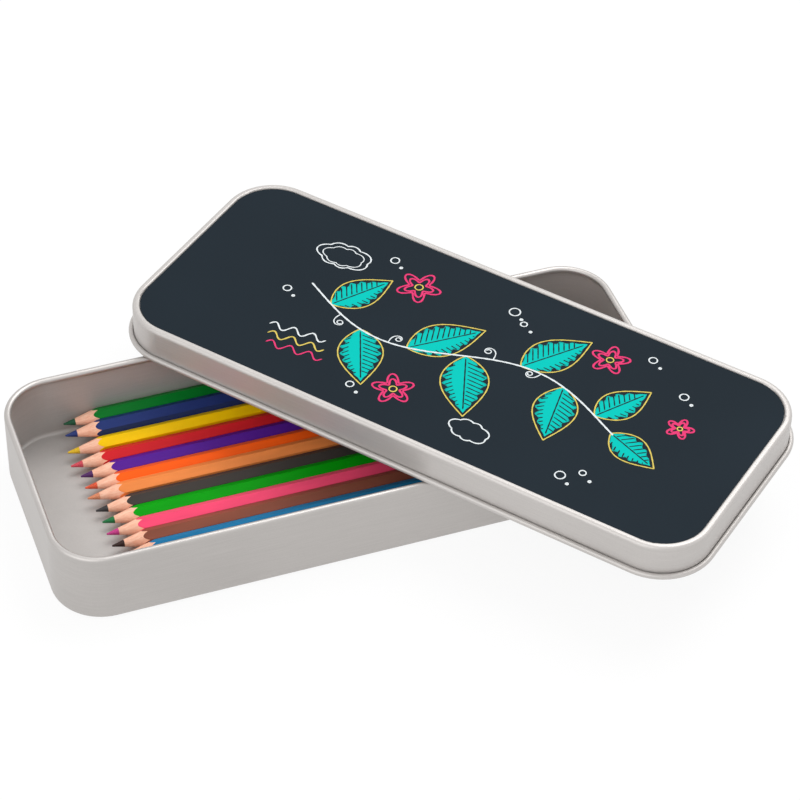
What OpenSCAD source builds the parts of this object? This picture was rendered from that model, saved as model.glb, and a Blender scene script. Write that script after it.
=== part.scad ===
// Colored pencil tin: a tray of drawn tinplate with large round corners, its slip-on lid lying loose
// and turned across the open tray, and a row of twelve sharpened hexagonal pencils on the tray's floor.
// X runs along the tray, +Y is its rear and +Z is up. The origin is the middle of the tray's
// footprint, on the surface it stands on. Millimetres.

/* [Tray] */
// Length of the tray over its end walls
tray_length = 229.4; // [200:0.2:260]
// Width of the tray over its side walls
tray_width = 94; // [84:0.5:120]
// Height of the tray up to the top of its rolled rim
tray_height = 28.8; // [20:0.2:45]
// Outer radius of the upright corners
corner_radius = 18.3; // [12:0.1:30]
// Outer radius of the bend between floor and walls
foot_radius = 1.7; // [1:0.1:4]
// Outer radius of the rim, which is rolled inward
rim_radius = 1.25; // [0.8:0.05:1.8]
// Thickness of the tinplate
sheet = 0.3; // [0.2:0.05:0.5]

/* [Lid] */
// Height of the lid from the underside of its bead to the top of its border
lid_height = 13.7; // [9:0.1:20]
// Clearance all round between the skirt and the tray when the lid is pushed on
lid_clearance = 0.45; // [0.3:0.05:1]
// Outer radius of the bead, which is rolled outward at the skirt's lower edge
bead_radius = 1.05; // [0.7:0.05:1.5]
// Outer radius of the shoulder between skirt and border
shoulder_radius = 1.5; // [0.8:0.1:2.2]
// Width of the flat top of the raised border round the panel
border_flat = 0.5; // [0.2:0.1:4]
// Outer radius of the border's inner edge
step_radius = 0.6; // [0.5:0.05:0.8]
// Depth of the recess below the top of the border
recess_depth = 1.2; // [1:0.05:2]
// Inner radius of the bend where the recess wall meets its floor
recess_bend = 0.15; // [0.1:0.05:0.2]
// Thickness of the printed aluminium panel
panel_thickness = 0.5; // [0.3:0.05:0.7]
// Gap between the panel's edge and the wall of the recess
panel_gap = 0.2; // [0.2:0.05:0.8]
// Thickness of the adhesive sheet under the panel
adhesive_thickness = 0.12; // [0.05:0.01:0.2]
// Distance by which the adhesive sheet stays back from the panel's edge
adhesive_inset = 2; // [1:0.5:6]

/* [Lid position] */
// Middle of the lid along the tray
lid_x = 42.1; // [20:0.1:60]
// Middle of the lid across the tray
lid_y = -2.1; // [-8:0.1:8]
// Angle by which the lid is turned across the tray
lid_turn = -50.8; // [-65:0.2:-35]
// Gap between the tray's rim and the lid that lies on it
lid_rest_gap = 0.2; // [0.1:0.05:0.5]

/* [Pencils] */
// Length of a pencil from its tip to its flat end
pencil_length = 175; // [150:0.5:180]
// Width of a pencil across its flats, lacquer included
pencil_flats = 5.9; // [5:0.05:6.2]
// Thickness of the lacquer
lacquer_thickness = 0.12; // [0.08:0.01:0.2]
// Diameter of the coloured core
core_diameter = 2.5; // [2:0.1:3.8]
// Diameter of the blunt tip of the core
tip_diameter = 0.6; // [0.3:0.05:1]
// Angle between the sharpened cone and the pencil's axis
cone_angle = 13; // [11:0.5:20]
// Gap between two neighbouring pencils
pencil_gap = 0.17; // [0.1:0.01:0.4]
// Gap between the rearmost pencil and the rear wall
rear_gap = 0.2; // [0.15:0.05:3]
// Gap between the pencils that are pressed against the rear wall and the rest of the row
row_gap = 0.75; // [0.17:0.05:3]
// Gap between the pencils' lower corners and the floor
floor_gap = 0.1; // [0.05:0.01:0.3]
// Height by which the two rearmost pencils are wedged up between the row and the wall
wedged_up = 3; // [0:0.1:3.2]

/* [Hidden] */
$fn = 64;
// Angle above the level at which the bead's rolled edge ends, beside the skirt
bead_open = 60;
// Space for the glue between a core and its casing
core_gap = 0.03;
// Number of pencils that are pressed against the rear wall
pressed_back = 3;
// Rear to front: the name of each pencil, the distance of its tip from the tray's left end, its
// share of the wedged height, its lacquer colour and its core colour
pencils = [
    ["dark_green", 23.6, 1, [0.00, 0.42, 0.14], [0.04, 0.30, 0.14]],
    ["dark_blue", 22.7, 1, [0.15, 0.22, 0.45], [0.12, 0.16, 0.42]],
    ["yellow", 21.8, 0.15, [0.95, 0.76, 0.08], [0.98, 0.80, 0.10]],
    ["red", 21.2, 0, [0.76, 0.15, 0.17], [0.85, 0.22, 0.28]],
    ["purple", 23.2, 0, [0.33, 0.14, 0.54], [0.26, 0.10, 0.36]],
    ["orange", 23.2, 0, [0.96, 0.40, 0.14], [0.90, 0.30, 0.12]],
    ["peach", 22.5, 0.25, [0.93, 0.57, 0.31], [0.95, 0.62, 0.40]],
    ["black", 23.8, 0, [0.25, 0.22, 0.21], [0.20, 0.19, 0.20]],
    ["light_green", 24.5, 0, [0.05, 0.56, 0.06], [0.05, 0.34, 0.12]],
    ["pink", 24.4, 0, [0.96, 0.32, 0.47], [0.80, 0.12, 0.42]],
    ["brown", 24.7, 0, [0.52, 0.30, 0.22], [0.16, 0.09, 0.07]],
    ["light_blue", 25.9, 0, [0.12, 0.47, 0.64], [0.10, 0.42, 0.62]],
];
pencil_pitch = pencil_flats + pencil_gap;
pencil_corner = pencil_flats / 2 / cos(30);
casing_corner = (pencil_flats / 2 - lacquer_thickness) / cos(30);
pencil_z = sheet + floor_gap + pencil_corner;
first_pencil_y = tray_width / 2 - sheet - rear_gap - pencil_flats / 2;
lid_length = tray_length + 2 * (lid_clearance + sheet);
lid_width = tray_width + 2 * (lid_clearance + sheet);
lid_corner = corner_radius + lid_clearance + sheet;
lid_z = tray_height + lid_rest_gap;
recess_floor = lid_height - recess_depth;
border_width = shoulder_radius + border_flat + step_radius;
panel_inset = border_width + panel_gap;

// Quarter of a ring between an outer radius and one sheet less, in the quadrant that starts at
// the given angle. With skip above 0 the ring begins that many degrees later.
module quarter_bend(radius, start, skip = 0) {
    rotate(start)
        difference() {
            intersection() {
                circle(r = radius);
                square(radius);
                rotate(skip) square(radius);
            }
            circle(r = radius - sheet);
        }
}

// Carries a wall profile round a rounded rectangle and closes the middle with a plate. The
// profile's x runs inward from the outline and its y is the height.
module carry_round(length, width, radius, plate_z, plate_thickness) {
    run_x = length - 2 * radius;
    run_y = width - 2 * radius;
    for (turn = [0, 180]) rotate(turn) {
        translate([-run_x / 2, width / 2, 0]) rotate([90, 0, 90])
            linear_extrude(run_x) mirror([1, 0]) children();
        translate([length / 2, run_y / 2, 0]) rotate([90, 0, 0])
            linear_extrude(run_y) mirror([1, 0]) children();
        translate([run_x / 2, run_y / 2, 0])
            rotate_extrude(angle = 90) translate([radius, 0]) mirror([1, 0]) children();
        translate([-run_x / 2, run_y / 2, 0]) rotate(90)
            rotate_extrude(angle = 90) translate([radius, 0]) mirror([1, 0]) children();
    }
    translate([-run_x / 2, -run_y / 2, plate_z]) cube([run_x, run_y, plate_thickness]);
}

// Floor, foot bend, wall and the rim rolled inward.
module tray_profile() {
    translate([foot_radius, 0]) square([corner_radius - foot_radius, sheet]);
    translate([foot_radius, foot_radius]) quarter_bend(foot_radius, 180);
    translate([0, foot_radius]) square([sheet, tray_height - foot_radius - rim_radius]);
    translate([rim_radius, tray_height - rim_radius])
        for (start = [90, 0, 270]) quarter_bend(rim_radius, start);
}

module tray() {
    color([0.74, 0.73, 0.72])
        carry_round(tray_length, tray_width, corner_radius, 0, sheet) tray_profile();
}

// Bead rolled outward until its edge nearly meets the skirt, skirt, shoulder, border, step and
// the floor of the recess.
module lid_profile() {
    translate([sheet - bead_radius, bead_radius]) {
        for (start = [270, 180, 90]) quarter_bend(bead_radius, start);
        quarter_bend(bead_radius, 0, bead_open);
    }
    translate([0, bead_radius])
        square([sheet, lid_height - bead_radius - shoulder_radius]);
    translate([shoulder_radius, lid_height - shoulder_radius])
        quarter_bend(shoulder_radius, 90);
    translate([shoulder_radius, lid_height - sheet])
        square([border_flat, sheet]);
    translate([border_width - step_radius, lid_height - step_radius])
        quarter_bend(step_radius, 0);
    translate([border_width - sheet, recess_floor + recess_bend])
        square([sheet, recess_depth - recess_bend - step_radius]);
    translate([border_width + recess_bend, recess_floor + recess_bend])
        quarter_bend(recess_bend + sheet, 180);
    translate([border_width + recess_bend, recess_floor - sheet])
        square([lid_corner - border_width - recess_bend, sheet]);
}

module place_lid() {
    translate([lid_x, lid_y, lid_z]) rotate([0, 0, lid_turn]) children();
}

module lid_shell() {
    color([0.66, 0.64, 0.63]) place_lid()
        carry_round(lid_length, lid_width, lid_corner, recess_floor - sheet, sheet) lid_profile();
}

// Flat sheet with round corners that keeps the same distance from the lid's outline all round.
module lid_sheet(inset, thickness) {
    length = lid_length - 2 * inset;
    width = lid_width - 2 * inset;
    radius = lid_corner - inset;
    linear_extrude(thickness) {
        square([length - 2 * radius, width], center = true);
        square([length, width - 2 * radius], center = true);
        for (x = [-1, 1], y = [-1, 1])
            translate([x * (length / 2 - radius), y * (width / 2 - radius)]) circle(r = radius);
    }
}

module lid_adhesive() {
    color([0.80, 0.79, 0.74]) place_lid()
        translate([0, 0, recess_floor])
            lid_sheet(panel_inset + adhesive_inset, adhesive_thickness);
}

module lid_panel() {
    color([0.15, 0.19, 0.23]) place_lid()
        translate([0, 0, recess_floor + adhesive_thickness])
            lid_sheet(panel_inset, panel_thickness);
}

// Hexagonal bar along +X with a corner up, its end at the origin.
module hexagon_bar(corner) {
    rotate([0, 90, 0]) cylinder(h = pencil_length, r = corner, $fn = 6);
}

// Everything that the sharpener leaves: a cone from the blunt tip, wider than the pencil behind it.
module sharpened_space() {
    wide = pencil_corner + 1;
    rotate([0, 90, 0])
        rotate_extrude()
            polygon([
                [0, 0], [tip_diameter / 2, 0],
                [wide, (wide - tip_diameter / 2) / tan(cone_angle)],
                [wide, pencil_length + 1], [0, pencil_length + 1]
            ]);
}

module place_pencil(i) {
    loose = i < pressed_back ? 0 : row_gap - pencil_gap;
    translate([
        pencils[i][1] - tray_length / 2,
        first_pencil_y - i * pencil_pitch - loose,
        pencil_z + pencils[i][2] * wedged_up
    ]) children();
}

module pencil_casing(i) {
    color([0.90, 0.69, 0.57]) place_pencil(i)
        difference() {
            intersection() {
                hexagon_bar(casing_corner);
                sharpened_space();
            }
            translate([-1, 0, 0]) rotate([0, 90, 0])
                cylinder(h = pencil_length + 2, d = core_diameter + 2 * core_gap);
        }
}

module pencil_lacquer(i) {
    color(pencils[i][3]) place_pencil(i)
        intersection() {
            difference() {
                hexagon_bar(pencil_corner);
                translate([-1, 0, 0]) rotate([0, 90, 0])
                    cylinder(h = pencil_length + 2, r = casing_corner, $fn = 6);
            }
            sharpened_space();
        }
}

module pencil_core(i) {
    color(pencils[i][4]) place_pencil(i)
        intersection() {
            rotate([0, 90, 0]) cylinder(h = pencil_length, d = core_diameter);
            sharpened_space();
        }
}

tray();
lid_shell();
lid_adhesive();
lid_panel();
for (i = [0:len(pencils) - 1]) {
    pencil_casing(i);
    pencil_lacquer(i);
    pencil_core(i);
}
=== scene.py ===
"""Colored pencil tin: finishes for the tin and its pencils, and the chalk drawing on the lid."""

import math

import bpy
import numpy as np
from mathutils import Matrix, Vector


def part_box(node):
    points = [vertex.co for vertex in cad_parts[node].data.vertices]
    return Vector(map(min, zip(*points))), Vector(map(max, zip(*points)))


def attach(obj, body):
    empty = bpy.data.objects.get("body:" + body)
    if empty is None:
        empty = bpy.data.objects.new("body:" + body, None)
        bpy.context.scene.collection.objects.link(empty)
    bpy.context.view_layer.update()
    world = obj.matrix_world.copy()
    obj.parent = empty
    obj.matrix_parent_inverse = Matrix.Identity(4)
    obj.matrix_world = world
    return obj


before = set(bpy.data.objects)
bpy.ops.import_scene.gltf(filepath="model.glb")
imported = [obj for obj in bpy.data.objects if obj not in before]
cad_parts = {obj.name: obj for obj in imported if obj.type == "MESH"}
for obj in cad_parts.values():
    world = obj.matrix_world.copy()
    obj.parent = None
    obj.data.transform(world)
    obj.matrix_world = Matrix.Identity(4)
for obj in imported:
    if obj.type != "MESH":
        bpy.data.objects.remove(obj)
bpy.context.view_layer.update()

MM = 0.001
WHITE = (1, 1, 1, 1)

# The lid as it lies on the tray: its middle and its turn.
LID_MIDDLE = (42.1 * MM, -2.1 * MM)
LID_TURN = math.radians(-50.8)

# The tray's outline and height, the depth of its rolled rim, and its sheet.
TRAY_LENGTH = 229.4 * MM
TRAY_WIDTH = 94 * MM
TRAY_CORNER = 18.3 * MM
TRAY_HEIGHT = 28.8 * MM
RIM_DEPTH = 2.5 * MM
SHEET = 0.3 * MM

# Tinplate, light and dark along the brushing, as seen, 0 to 255.
TRAY_METAL = (191, 187, 184), (180, 176, 173)
LID_METAL = (195, 191, 188), (184, 180, 177)
CUT_EDGE = (205, 205, 205)

# The print on the panel, light and dark, and the depth at which its bare cut edge begins.
SLATE_LIGHT = (28, 38, 46)
SLATE_DARK = (23, 32, 39)
PRINT_DEPTH = 0.03 * MM

# Lacquer, core: colours as seen in daylight, 0 to 255.
PENCILS = {
    "dark_green": ((0, 124, 40), (28, 92, 60)),
    "dark_blue": ((38, 56, 118), (40, 60, 130)),
    "yellow": ((255, 208, 0), (250, 205, 40)),
    "red": ((214, 34, 42), (235, 84, 100)),
    "purple": ((86, 30, 152), (92, 44, 110)),
    "orange": ((255, 98, 20), (245, 98, 62)),
    "peach": ((244, 142, 74), (240, 150, 110)),
    "black": ((66, 60, 58), (62, 60, 62)),
    "light_green": ((0, 162, 8), (30, 128, 70)),
    "pink": ((255, 80, 122), (218, 66, 150)),
    "brown": ((142, 80, 62), (58, 34, 30)),
    "light_blue": ((28, 122, 172), (30, 110, 160)),
}

# The camera: where it looks from, its roll, its distance in its own three directions, its lens.
CAMERA_AZIMUTH = math.radians(-20.629)
CAMERA_ELEVATION = math.radians(43.404)
CAMERA_ROLL = math.radians(1.619)
CAMERA_RIGHT, CAMERA_UP, CAMERA_BACK = 21.143 * MM, 22.490 * MM, 1047.33 * MM
LENS_LENGTH, SENSOR_WIDTH = 130.79, 36

# The white surroundings as light, where 1 is as they are seen, and the share of the floor that
# is seen white whatever shadow falls on it.
SKY_LIGHT = 0.75
FLOOR_GLOW = 0.9


def tint(red, green, blue):
    """A colour given from 0 to 255 as it is seen, as the linear colour that a shader takes."""
    seen = np.array([red, green, blue]) / 255
    linear = np.where(seen <= 0.04045, seen / 12.92, ((seen + 0.055) / 1.055) ** 2.4)
    return (*linear.tolist(), 1.0)


def deeper(colour, share):
    return tuple(part * share for part in colour)


# Camera

def set_up_camera():
    """The camera stands where the photograph was taken: it looks along the direction given by an
    azimuth and an elevation, is rolled a little, and is moved sideways in its own plane."""
    flat = math.cos(CAMERA_ELEVATION)
    back = np.array([math.sin(CAMERA_AZIMUTH) * flat, -math.cos(CAMERA_AZIMUTH) * flat,
                     math.sin(CAMERA_ELEVATION)])
    level = np.array([math.cos(CAMERA_AZIMUTH), math.sin(CAMERA_AZIMUTH), 0.0])
    upright = np.cross(back, level)
    right = math.cos(CAMERA_ROLL) * level + math.sin(CAMERA_ROLL) * upright
    up = -math.sin(CAMERA_ROLL) * level + math.cos(CAMERA_ROLL) * upright
    place = right * CAMERA_RIGHT + up * CAMERA_UP + back * CAMERA_BACK
    lens = bpy.data.cameras.new("camera")
    lens.lens = LENS_LENGTH
    lens.sensor_width = SENSOR_WIDTH
    lens.clip_end = 20
    camera = bpy.data.objects.new("camera", lens)
    bpy.context.scene.collection.objects.link(camera)
    rotation = Matrix(np.stack([right, up, back], axis=1).tolist()).to_4x4()
    camera.matrix_world = Matrix.Translation(place.tolist()) @ rotation
    bpy.context.scene.camera = camera


set_up_camera()


# Materials

class Value:
    """A node's output. Arithmetic on it adds Math nodes to the same tree."""

    def __init__(self, nodes, socket):
        self.nodes = nodes
        self.socket = socket

    def math(self, operation, *numbers):
        return self.nodes.node("ShaderNodeMath", {"operation": operation}, dict(enumerate(numbers)))

    def __add__(self, other):
        return self.math("ADD", self, other)

    def __radd__(self, other):
        return self.math("ADD", other, self)

    def __sub__(self, other):
        return self.math("SUBTRACT", self, other)

    def __rsub__(self, other):
        return self.math("SUBTRACT", other, self)

    def __mul__(self, other):
        return self.math("MULTIPLY", self, other)

    def __rmul__(self, other):
        return self.math("MULTIPLY", other, self)

    def __abs__(self):
        return self.math("ABSOLUTE", self)

    def at_least(self, other):
        return self.math("MAXIMUM", self, other)

    def at_most(self, other):
        return self.math("MINIMUM", self, other)

    def root(self):
        return self.math("SQRT", self)

    def wave(self):
        return self.math("SINE", self)

    def step(self, low, high):
        """0 below low and 1 above high, with an even ramp between them."""
        settings = {"interpolation_type": "LINEAR", "clamp": True}
        return self.nodes.node("ShaderNodeMapRange", settings, {
            "Value": self, "From Min": low, "From Max": high, "To Min": 0.0, "To Max": 1.0})


class Nodes:
    """A tree of shader nodes and the one way in which nodes are added to it."""

    def __init__(self, tree):
        self.tree = tree

    def node(self, kind, settings=None, inputs=None, output=0):
        """Adds a node, makes its settings, fills or links its inputs, and gives one output."""
        made = self.tree.nodes.new(kind)
        for name, value in (settings or {}).items():
            setattr(made, name, value)
        for name, value in (inputs or {}).items():
            self.feed(made.inputs[name], value)
        return Value(self, made.outputs[output])

    def feed(self, socket, value):
        if isinstance(value, Value):
            self.tree.links.new(value.socket, socket)
        else:
            socket.default_value = value

    def seen_directly(self):
        """1 where the camera, a mirror-like surface or glass looks, 0 for the light that falls."""
        camera, glossy, through = [
            self.node("ShaderNodeLightPath", output=ray)
            for ray in ("Is Camera Ray", "Is Glossy Ray", "Is Transmission Ray")]
        return camera.at_least(glossy).at_least(through)


class Finish(Nodes):
    """A material: a Principled shader and the nodes that feed it."""

    def __init__(self, name, **constants):
        self.material = bpy.data.materials.new(name)
        self.material.use_nodes = True
        super().__init__(self.material.node_tree)
        self.shader = self.tree.nodes["Principled BSDF"]
        for socket, value in constants.items():
            self.shader.inputs[socket.replace("_", " ")].default_value = value

    def set(self, name, value):
        self.feed(self.shader.inputs[name], value)

    def place(self):
        return self.node("ShaderNodeTexCoord", output="Object")

    def stretched(self, vector, scale):
        return self.node("ShaderNodeMapping", inputs={"Vector": vector, "Scale": scale})

    def in_lid(self):
        """Places counted from the middle of the lid, along it and across it."""
        return self.node("ShaderNodeMapping", {"vector_type": "TEXTURE"}, {
            "Vector": self.place(), "Location": (*LID_MIDDLE, 0.0), "Rotation": (0, 0, LID_TURN)})

    def apart(self, vector):
        return [self.node("ShaderNodeSeparateXYZ", inputs={0: vector}, output=i) for i in range(3)]

    def noise(self, vector, scale=1.0, detail=2.0, roughness=0.5):
        return self.node("ShaderNodeTexNoise", inputs={
            "Vector": vector, "Scale": scale, "Detail": detail, "Roughness": roughness})

    def mix(self, share, first, second):
        return self.node("ShaderNodeMix", {"data_type": "RGBA"}, {0: share, 6: first, 7: second}, 2)

    def bump(self, height, distance):
        normal = self.node("ShaderNodeBump", inputs={"Height": height, "Distance": distance})
        self.set("Normal", normal)


def tinplate(name, metal, vector_of):
    """Satin tinplate: fine streaks of the brushing, faint cloudy marks and a grain in the gloss.
    Gives the finish and the roughness, which the tray and the lid set for themselves."""
    light, dark = metal
    finish = Finish(name, Specular_IOR_Level=0.3)
    place = vector_of(finish)
    streaks = finish.noise(finish.stretched(place, (60, 60, 2600)), detail=3.0, roughness=0.6)
    grain = finish.noise(place, scale=1700, detail=3.0)
    clouds = finish.noise(place, scale=24, detail=3.0)
    shade = (clouds * 0.26 + grain * 0.26 + streaks * 0.48).step(0.34, 0.66)
    finish.set("Base Color", finish.mix(shade, tint(*dark), tint(*light)))
    finish.bump(grain * 0.5 + streaks * 0.5, 0.01 * MM)
    return finish, 0.36 + clouds * 0.08 + grain * 0.06


def lid_tinplate():
    finish, dullness = tinplate("lid_tinplate", LID_METAL, Finish.in_lid)
    finish.set("Metallic", 0.5)
    finish.set("Roughness", dullness)
    return finish.material


def tray_tinplate():
    """The tray's walls and floor are duller inside, below the rolled rim. The distance is that to
    the rounded outline plus its corner's radius, so the inside is where it falls short of the
    middle of the sheet."""
    finish, dullness = tinplate("tray_tinplate", TRAY_METAL, Finish.place)
    along, across, height = finish.apart(finish.place())
    past_x = abs(along) - (TRAY_LENGTH / 2 - TRAY_CORNER)
    past_y = abs(across) - (TRAY_WIDTH / 2 - TRAY_CORNER)
    out_x, out_y = past_x.at_least(0.0), past_y.at_least(0.0)
    distance = (out_x * out_x + out_y * out_y).root() + past_x.at_least(past_y).at_most(0.0)
    within = 1 - distance.step(TRAY_CORNER - SHEET * 0.6, TRAY_CORNER - SHEET * 0.4)
    above = height.step(SHEET * 0.4, SHEET * 0.6)
    below_rim = 1 - height.step(TRAY_HEIGHT - RIM_DEPTH - MM, TRAY_HEIGHT - RIM_DEPTH)
    inside = within * above * below_rim
    finish.set("Metallic", 0.8 - inside * 0.5)
    finish.set("Roughness", dullness + inside * 0.1)
    return finish.material


def panel_print():
    """Dark slate print with a faint speckle. The panel's cut edge below the print is bare."""
    finish = Finish("slate_print", Specular_IOR_Level=0.08)
    place = finish.in_lid()
    _, _, height = finish.apart(place)
    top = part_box("lid_panel")[1].z
    edge = 1 - height.step(top - 2 * PRINT_DEPTH, top - PRINT_DEPTH)
    speckle = finish.noise(place, scale=1800)
    clouds = finish.noise(place, scale=16)
    shade = (speckle * 0.4 + clouds * 0.6).step(0.25, 0.75)
    slate = finish.mix(shade, tint(*SLATE_DARK), tint(*SLATE_LIGHT))
    finish.set("Base Color", finish.mix(edge, slate, tint(*CUT_EDGE)))
    finish.set("Metallic", edge)
    finish.set("Roughness", 0.62 - edge * 0.2 + speckle * 0.1)
    finish.bump(speckle, 0.008 * MM)
    return finish.material


def adhesive_film():
    """Pale film with short fibres in it."""
    finish = Finish("adhesive_film", Specular_IOR_Level=0.4)
    fibres = finish.noise(finish.place(), scale=900, detail=4.0)
    finish.set("Base Color", finish.mix(fibres, tint(200, 196, 180), tint(226, 223, 210)))
    finish.set("Roughness", 0.55 + fibres * 0.2)
    return finish.material


def chalk(name, colour):
    """Chalk line: the colour breaks up into the slate below in fine grains, more so at the two
    edges of the stroke, where the stroke's own v nears 0 and 1."""
    finish = Finish(name, Specular_IOR_Level=0.08)
    _, over, _ = finish.apart(finish.node("ShaderNodeUVMap", {"uv_map": "stroke"}))
    grains = finish.noise(finish.in_lid(), scale=5200, detail=3.0, roughness=0.6)
    edge = abs(over - 0.5) * 2
    cover = (grains + 0.34 - edge * edge * 0.34).step(0.44, 0.52)
    finish.set("Base Color", finish.mix(cover, tint(*SLATE_LIGHT), tint(*colour)))
    finish.set("Roughness", 0.75 + grains * 0.15)
    return finish.material


def lacquer(name, colour):
    """Pencil lacquer with a soft sheen, a faint unevenness and small rubbed marks along it."""
    finish = Finish(name, Coat_Roughness=0.25, Specular_IOR_Level=0.1)
    place = finish.place()
    ripple = finish.noise(finish.stretched(place, (60, 300, 300)))
    rubs = finish.noise(finish.stretched(place, (260, 2400, 2400)), detail=3.0, roughness=0.6)
    deep = deeper(colour, 0.95)
    finish.set("Base Color", finish.mix(ripple.step(0.3, 0.7), tint(*deep), tint(*colour)))
    finish.set("Roughness", 0.38 + rubs * 0.14)
    finish.set("Coat Weight", 0.01 + rubs * 0.04)
    finish.bump(ripple * 0.5 + rubs * 0.5, 0.01 * MM)
    return finish.material


def cedar():
    """Sharpened cedar: grain lines along the pencil, a few darker pores, and the fine ridges
    that the sharpener's blade leaves round the cone."""
    finish = Finish("cedar", Specular_IOR_Level=0.2)
    place = finish.place()
    along, _, _ = finish.apart(place)
    grain = finish.noise(finish.stretched(place, (70, 1500, 1500)), detail=4.0, roughness=0.65)
    pores = finish.noise(finish.stretched(place, (420, 5200, 5200))).step(0.62, 0.72)
    warm = finish.mix(grain.step(0.3, 0.7), tint(240, 172, 142), tint(255, 208, 182))
    finish.set("Base Color", finish.mix(pores * 0.35, warm, tint(206, 142, 110)))
    finish.set("Roughness", 0.62 + grain * 0.2)
    ridges = (along * 14000 + grain * 5).wave()
    finish.bump(ridges * 0.25 + grain, 0.03 * MM)
    return finish.material


def pigment(name, colour):
    """Waxy pigment core: grains of two depths of its colour under a dull sheen."""
    finish = Finish(name, Specular_IOR_Level=0.3)
    grains = finish.noise(finish.place(), scale=3200, detail=3.0, roughness=0.6)
    deep = deeper(colour, 0.8)
    finish.set("Base Color", finish.mix(grains.step(0.35, 0.65), tint(*deep), tint(*colour)))
    finish.set("Roughness", 0.45 + grains * 0.2)
    finish.bump(grains, 0.03 * MM)
    return finish.material


def dress(node, material):
    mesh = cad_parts[node].data
    mesh.materials.clear()
    mesh.materials.append(material)


dress("tray", tray_tinplate())
dress("lid_shell", lid_tinplate())
dress("lid_panel", panel_print())
dress("lid_adhesive", adhesive_film())
wood = cedar()
for pencil, (coat, core) in PENCILS.items():
    dress(pencil + "_casing", wood)
    dress(pencil + "_lacquer", lacquer(pencil + "_lacquer_coat", coat))
    dress(pencil + "_core", pigment(pencil + "_pigment", core))


# Chalk drawing on the panel. Its lengths are in mm, along and across the lid from its middle,
# its angles in degrees.

# The stem: from, to. Leaves: place along the stem, lean, length, width.
STEM = (-64, 66)
LEAVES = (
    (-52, 62, 24, 12), (-36, -58, 27, 13.5), (-17, 50, 28, 14), (3, -62, 29, 14.5),
    (22, 58, 27, 13.5), (40, -76, 26, 13), (56, 62, 22, 11), (65, -20, 20, 10),
)
# Curls: place along the stem, lean, length, side to which the curl turns.
CURLS = ((-46, -110, 15, 1), (-24, 100, 14, -1), (12, 95, 16, 1), (30, -105, 14, -1))
# Blossoms: place, size, turn.
BLOSSOMS = ((-30, 24, 8.2, 10), (47, 27, 7.2, 30), (-10, -27, 7.6, 50), (84, 9, 5, 20))
# Clouds: place, turn, size, width of the line.
CLOUDS = ((-62, 24, 4, 9.5, 0.55), (-62, 23.6, 4, 7.2, 0.4), (23, -31, -6, 7.0, 0.55))
# Rings: place, radius. A dot lies below each to the right.
RINGS = (
    (-45, 32, 1.6), (6, 31, 2.0), (12, 27, 1.2), (60, 35, 1.5), (60, -33, 1.8),
    (66, -28, 1.2), (-24, -33, 1.4), (78, 24, 1.6), (-70, -2, 1.5),
)
DOT = (4, -2.4, 0.4)

FINE_LINE = 0.5
# How far each forward step of a leaf's hatching is to one step outwards.
HATCHING_SLANT = 0.55


def closed_curve(radius, points):
    """Points of a closed curve round the origin: at each angle the distance is radius(angle)."""
    angle = np.linspace(0, 2 * np.pi, points + 1)
    return np.stack([np.cos(angle), np.sin(angle)], axis=1) * radius(angle)[:, None]


def ring(radius, points):
    """Circle round the origin."""
    return closed_curve(lambda angle: np.full_like(angle, radius), points)


def petals(points=160):
    """Five petals: the distance from the origin is a constant plus a cosine of five times the
    angle."""
    return closed_curve(lambda angle: 0.74 + 0.26 * np.cos(5 * angle), points)


def cloud(points=220):
    """A flat ellipse whose distance from the origin swells in seven bulges, each half a sine."""
    return closed_curve(
        lambda angle: (1 + 0.16 * np.abs(np.sin(3.5 * angle)))
        / np.hypot(np.cos(angle), 1.7 * np.sin(angle)), points)


def ripple(length=22, height=1.6, waves=3, points=60):
    """A sine wave along x, with its middle at the origin."""
    t = np.linspace(0, 1, points)
    return np.stack([length * t - length / 2, height * np.sin(t * 2 * waves * np.pi)], axis=1)


def turned(curve, degrees, place, scale=1.0):
    """The curve scaled, turned about the origin and moved to its place on the panel."""
    a = math.radians(degrees)
    turn = np.array([[math.cos(a), math.sin(a)], [-math.sin(a), math.cos(a)]])
    return curve @ turn * scale + np.array(place)


def stem_height(x):
    """Height of the wavy stem over the panel's middle line: a sine on a slight slope."""
    return 9 * np.sin(x / 19.0) - 0.05 * x


def leaf_arch(share, width):
    """Half the leaf's width at a share of its length: a sine arch, fuller towards the stalk."""
    return width / 2 * np.sin(np.pi * share ** 0.8)


def leaf_outline(length, width, points=60):
    """Almond from the origin along x, with the arch above and below the midrib."""
    t = np.linspace(0, 1, points)
    upper = np.stack([length * t, leaf_arch(t, width)], axis=1)
    return np.concatenate([upper, (upper * [1, -1])[::-1]])


def leaf_blade(length, width, points=50):
    """The almond filled in: the midrib's points and the almond's full width at each."""
    t = np.linspace(0, 1, points)
    midrib = np.stack([length * t, np.zeros(points)], axis=1)
    return midrib, np.maximum(2 * leaf_arch(t, width), 0.05)


def leaf_hatching(length, width, pitch=2.1):
    """Slanting strokes over the almond: each runs forward from near the midrib to the outline,
    which it meets where its height equals the arch's. On one side they are shorter."""
    strokes = []
    for start in np.arange(0.1 * length, 0.86 * length, pitch):
        run = np.linspace(0, width, 80)
        share = np.clip((start + run * HATCHING_SLANT) / length, 0, 1)
        inside = run <= leaf_arch(share, width) + 0.1
        if inside.sum() > 2:
            reach = run[inside].max()
            for side, first in ((1, 0.12), (-1, 0.62)):
                out = np.linspace(first * reach, reach, 12)
                strokes.append(np.stack([start + out * HATCHING_SLANT, side * out], axis=1))
    return strokes


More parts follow.
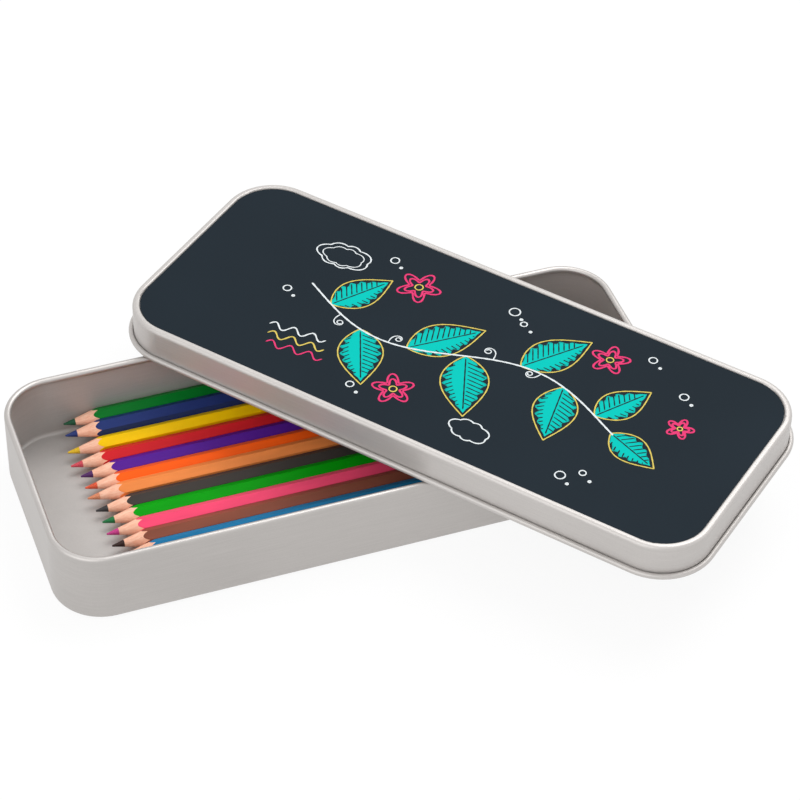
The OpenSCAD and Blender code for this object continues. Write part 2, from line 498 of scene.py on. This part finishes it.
def tendril(length, turns=1.5, points=90):
    """Curl that leaves the origin along x: its direction turns with the square of the way gone,
    and the points are the running sum of short steps in that direction."""
    angle = 2 * np.pi * turns * np.linspace(0, 1, points) ** 2
    steps = np.stack([np.cos(angle), np.sin(angle)], axis=1)
    return np.cumsum(steps, axis=0) * length / points


class Strokes:
    """Chalk strokes of one colour, gathered into one mesh that lies on the panel."""

    # Places across a stroke, the rise of its middle, and how much its width wavers.
    ACROSS = 5
    RISE = 0.012
    WAVER = 0.12

    def __init__(self, name, colour, lift):
        self.name, self.colour, self.lift = name, colour, lift
        self.points, self.uvs, self.faces, self.count = [], [], [], 0

    def draw(self, curve, width):
        """A flat ribbon along the curve. At each point five places step across it, along the
        normal, from one edge to the other, and rise in a low parabola to the middle. The width
        wavers by a slow sine, and the ends of an open curve are drawn in by a square root."""
        step = np.gradient(curve, axis=0)
        step /= np.maximum(np.linalg.norm(step, axis=1, keepdims=True), 1e-9)
        normal = np.stack([-step[:, 1], step[:, 0]], axis=1)
        gone = np.cumsum(np.linalg.norm(np.diff(curve, axis=0), axis=1))
        length = np.concatenate([[0], gone])
        waver = 1 + self.WAVER * np.sin(length * 1.7 + self.count)
        if np.linalg.norm(curve[0] - curve[-1]) > 0.5:
            to_end = np.minimum(length, length[-1] - length)
            waver *= np.sqrt(np.clip(to_end / (0.6 * width) + 0.12, 0, 1))
        over = np.linspace(-1, 1, self.ACROSS)
        reach = over[None, :, None] * (width / 2 * waver)[:, None, None]
        flat = curve[:, None] + normal[:, None] * reach
        rows, columns = flat.shape[:2]
        height = np.broadcast_to(self.RISE * (1 - over ** 2), (rows, columns))
        self.points.append(np.concatenate([flat, height[..., None]], axis=2).reshape(-1, 3))
        share = np.broadcast_to((over + 1) / 2, (rows, columns))
        run = np.broadcast_to(length[:, None], (rows, columns))
        self.uvs.append(np.stack([run, share], axis=2).reshape(-1, 2))
        grid = np.arange(rows - 1)[:, None] * columns + np.arange(columns - 1)
        first = grid.ravel() + self.count
        corners = [first, first + columns, first + columns + 1, first + 1]
        self.faces.append(np.stack(corners, axis=1))
        self.count += rows * columns

    def lay_on(self, top):
        """Turns and moves the strokes with the lid and puts them on the panel's top."""
        flat = np.concatenate(self.points) * MM
        c, s = math.cos(LID_TURN), math.sin(LID_TURN)
        x = flat[:, 0] * c - flat[:, 1] * s + LID_MIDDLE[0]
        y = flat[:, 0] * s + flat[:, 1] * c + LID_MIDDLE[1]
        z = flat[:, 2] + top + self.lift * MM
        faces = np.concatenate(self.faces)[:, ::-1]
        mesh = bpy.data.meshes.new(self.name)
        mesh.from_pydata(np.stack([x, y, z], axis=1).tolist(), [], faces.tolist())
        layer = mesh.uv_layers.new(name="stroke")
        layer.data.foreach_set("uv", np.concatenate(self.uvs)[faces.ravel()].ravel())
        mesh.polygons.foreach_set("use_smooth", np.ones(len(faces), bool))
        mesh.materials.append(chalk(self.name + "_line", self.colour))
        piece = bpy.data.objects.new(self.name, mesh)
        bpy.context.scene.collection.objects.link(piece)
        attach(piece, "lid")


def draw_panel():
    """The colours lie in thin layers, so that where lines cross the later one covers."""
    teal = Strokes("chalk_teal", (0, 182, 172), 0.02)
    slate = Strokes("leaf_hatching", SLATE_LIGHT, 0.045)
    yellow = Strokes("chalk_yellow", (206, 186, 92), 0.07)
    pink = Strokes("chalk_pink", (214, 58, 110), 0.09)
    white = Strokes("chalk_white", (214, 220, 222), 0.11)

    x = np.linspace(*STEM, 260)
    white.draw(np.stack([x, stem_height(x)], axis=1), 0.7)

    for along, lean, length, width in LEAVES:
        foot = (along, stem_height(along))
        midrib, breadth = leaf_blade(length, width)
        teal.draw(turned(midrib, lean, foot), breadth)
        slate.draw(turned(midrib[2:-3], lean, foot), FINE_LINE)
        for stroke in leaf_hatching(length, width):
            slate.draw(turned(stroke, lean, foot), 0.46)
        yellow.draw(turned(leaf_outline(length + 1.8, width + 2.6), lean, foot), FINE_LINE)

    for x, y, size, turn in BLOSSOMS:
        for share in (1, 0.66):
            pink.draw(turned(petals(), turn, (x, y), size * share), 0.75)
        yellow.draw(turned(ring(0.9, 40), 0, (x, y), size * 0.2), FINE_LINE)

    for along, lean, length, side in CURLS:
        curl = tendril(length) * [1, side]
        white.draw(turned(curl, lean, (along, stem_height(along))), 0.45)

    for x, y, turn, size, line in CLOUDS:
        white.draw(turned(cloud(), turn, (x, y), size), line)

    for row, colour in enumerate((white, yellow, pink)):
        colour.draw(turned(ripple(), 8, (-54 + 2 * row, -20 - 4.4 * row)), 0.6)

    right, up, dot = DOT
    for x, y, size in RINGS:
        white.draw(turned(ring(1.0, 32), 0, (x, y), size), FINE_LINE)
        white.draw(turned(ring(1.0, 24), 0, (x + right, y + up), dot), 0.6)

    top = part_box("lid_panel")[1].z
    for strokes in (teal, slate, yellow, pink, white):
        strokes.lay_on(top)


draw_panel()


# Studio

def pale_floor(reach=4.0, height=-0.3 * MM):
    """A large floor, white as seen, that keeps a soft part of the object's shadow."""
    finish = Finish("pale_floor", Roughness=0.9, Specular_IOR_Level=0.0)
    finish.set("Base Color", (0.9, 0.9, 0.9, 1))
    glow = finish.node("ShaderNodeEmission", inputs={"Color": WHITE, "Strength": 1.0})
    mixed = finish.node("ShaderNodeMixShader", inputs={
        0: finish.seen_directly() * FLOOR_GLOW,
        1: Value(finish, finish.shader.outputs[0]), 2: glow})
    finish.feed(finish.tree.nodes["Material Output"].inputs["Surface"], mixed)
    corners = [(-reach, -reach, height), (reach, -reach, height),
               (reach, reach, height), (-reach, reach, height)]
    mesh = bpy.data.meshes.new("floor")
    mesh.from_pydata(corners, [], [(0, 1, 2, 3)])
    mesh.materials.append(finish.material)
    floor = bpy.data.objects.new("floor", mesh)
    bpy.context.scene.collection.objects.link(floor)


def lamp(name, place, aim, size, power):
    """A soft square lamp that faces its aim."""
    light = bpy.data.lights.new(name, "AREA")
    light.shape = "SQUARE"
    light.size = size
    light.energy = power
    holder = bpy.data.objects.new(name, light)
    bpy.context.scene.collection.objects.link(holder)
    away = np.array(place) - np.array(aim)
    away = away / np.linalg.norm(away)
    side = np.cross((0, 0, 1), away)
    side = side / np.linalg.norm(side)
    turn = Matrix(np.stack([side, np.cross(away, side), away], axis=1).tolist()).to_4x4()
    holder.matrix_world = Matrix.Translation(place) @ turn


def set_up_light():
    """White surroundings as seen, weaker as light, and two soft lamps: the main one stands behind
    the tin to the right, so shadows fall to the front left, and the other stands at the left."""
    world = bpy.data.worlds.new("studio")
    bpy.context.scene.world = world
    world.use_nodes = True
    sky = Nodes(world.node_tree)
    background = sky.tree.nodes["Background"]
    background.inputs["Color"].default_value = WHITE
    strength = SKY_LIGHT + (1 - SKY_LIGHT) * sky.seen_directly()
    sky.feed(background.inputs["Strength"], strength)
    lamp("main_lamp", (0.55, 0.30, 1.15), (0.02, 0, 0.02), 0.85, 9.0)
    lamp("side_lamp", (-0.85, -0.6, 0.85), (0, 0, 0.02), 1.2, 6.0)


pale_floor()
set_up_light()
bpy.context.scene.view_settings.view_transform = "Standard"
